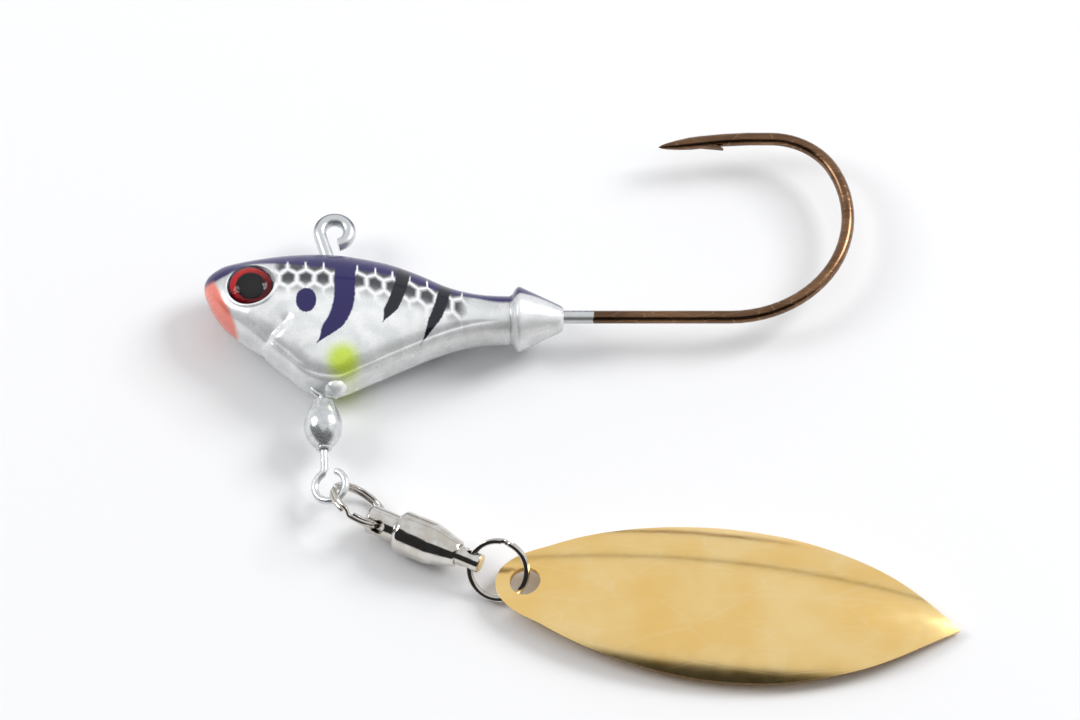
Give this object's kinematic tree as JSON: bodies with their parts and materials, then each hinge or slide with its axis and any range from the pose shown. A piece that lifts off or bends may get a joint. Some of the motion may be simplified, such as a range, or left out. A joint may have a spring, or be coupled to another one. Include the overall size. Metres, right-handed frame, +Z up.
{
  "type": "underspin bait",
  "caption": "Painted lead fish-head jig on a bent jig hook, with a belly swivel, split rings, a ball-bearing swivel and a hanging willow-leaf blade.",
  "frame": {"origin": "centre of the line tie's wire loop, in the plane of the hook", "axes": "the bait lies on its right side: +X along the hook shank towards the bend, +Y out of the fish's back, +Z up from the table, square to the plane of the hook and along the line tie's hole"},
  "size_m": [0.0747, 0.0614, 0.0074],
  "materials": {
    "head_paint": "glossy lacquer over pearl white, navy back, grey scale netting, coral throat",
    "hook_bronze": "bronze-lacquered high-carbon steel",
    "eye_foil": "red metallised print under the lens",
    "eye_lens": "clear cast epoxy",
    "swivel_paint": "silver-white lacquer over brass, from the head's spray coat",
    "nickel": "bright nickel plate",
    "ring_steel": "nickel-plated spring wire, polished",
    "ball_steel": "polished bearing steel",
    "blade_gold": "lacquered gold-plated brass, polished"
  },
  "bodies": {
    "lure": {"head_casting": "head_paint", "jig_hook": "hook_bronze", "eye_foil_left": "eye_foil", "eye_foil_right": "eye_foil", "eye_dome_left": "eye_lens", "eye_dome_right": "eye_lens", "belly_eye_upper": "swivel_paint"},
    "barrel": {"belly_barrel": "swivel_paint"},
    "lower_eye": {"belly_eye_lower": "swivel_paint"},
    "upper_ring": {"split_ring_upper": "ring_steel"},
    "bearing": {"bearing_plug": "nickel", "bearing_body": "nickel"},
    "balls": {"bearing_balls": "ball_steel"},
    "stud": {"bearing_stud": "nickel"},
    "lower_ring": {"split_ring_lower": "ring_steel"},
    "blade": {"willow_blade": "blade_gold"}
  },
  "joints": [
    {"name": "barrel_spin", "type": "hinge", "parent": "lure", "child": "barrel", "pos_m": [-0.001, -0.01935, -0.0002], "axis": [0.0348, -0.9956, -0.0872], "continuous": true},
    {"name": "lower_eye_spin", "type": "hinge", "parent": "barrel", "child": "lower_eye", "pos_m": [-0.001, -0.01935, -0.0002], "axis": [0.0348, -0.9956, -0.0872], "continuous": true},
    {"name": "upper_ring_swing", "type": "hinge", "parent": "lower_eye", "child": "upper_ring", "pos_m": [-0.0001, -0.03013, -0.00097], "axis": [0.9513, 0.0062, 0.3082], "range_deg": [-60, 6]},
    {"name": "bearing_swing", "type": "hinge", "parent": "upper_ring", "child": "bearing", "pos_m": [0.00492, -0.0323, -0.00161], "axis": [-0.3617, -0.6495, 0.6688], "range_deg": [-60, 60]},
    {"name": "bearing_spin", "type": "hinge", "parent": "bearing", "child": "stud", "pos_m": [0.00653, -0.0331, -0.00152], "axis": [0.8938, -0.4456, 0.0506], "continuous": true},
    {"name": "ball_orbit", "type": "hinge", "parent": "bearing", "child": "balls", "pos_m": [0.00653, -0.0331, -0.00152], "axis": [0.8938, -0.4456, 0.0506], "continuous": true},
    {"name": "lower_ring_swing", "type": "hinge", "parent": "stud", "child": "lower_ring", "pos_m": [0.01377, -0.03671, -0.00111], "axis": [0.2984, 0.6751, 0.6747], "range_deg": [-60, 60]},
    {"name": "blade_swing", "type": "hinge", "parent": "lower_ring", "child": "blade", "pos_m": [0.01907, -0.03905, -0.00139], "axis": [0.3558, 0.6498, 0.6717], "range_deg": [-5, 58]}
  ],
  "couplings": [
    {"joint": "ball_orbit", "follows": "bearing_spin", "ratio": 0.5}
  ]
}
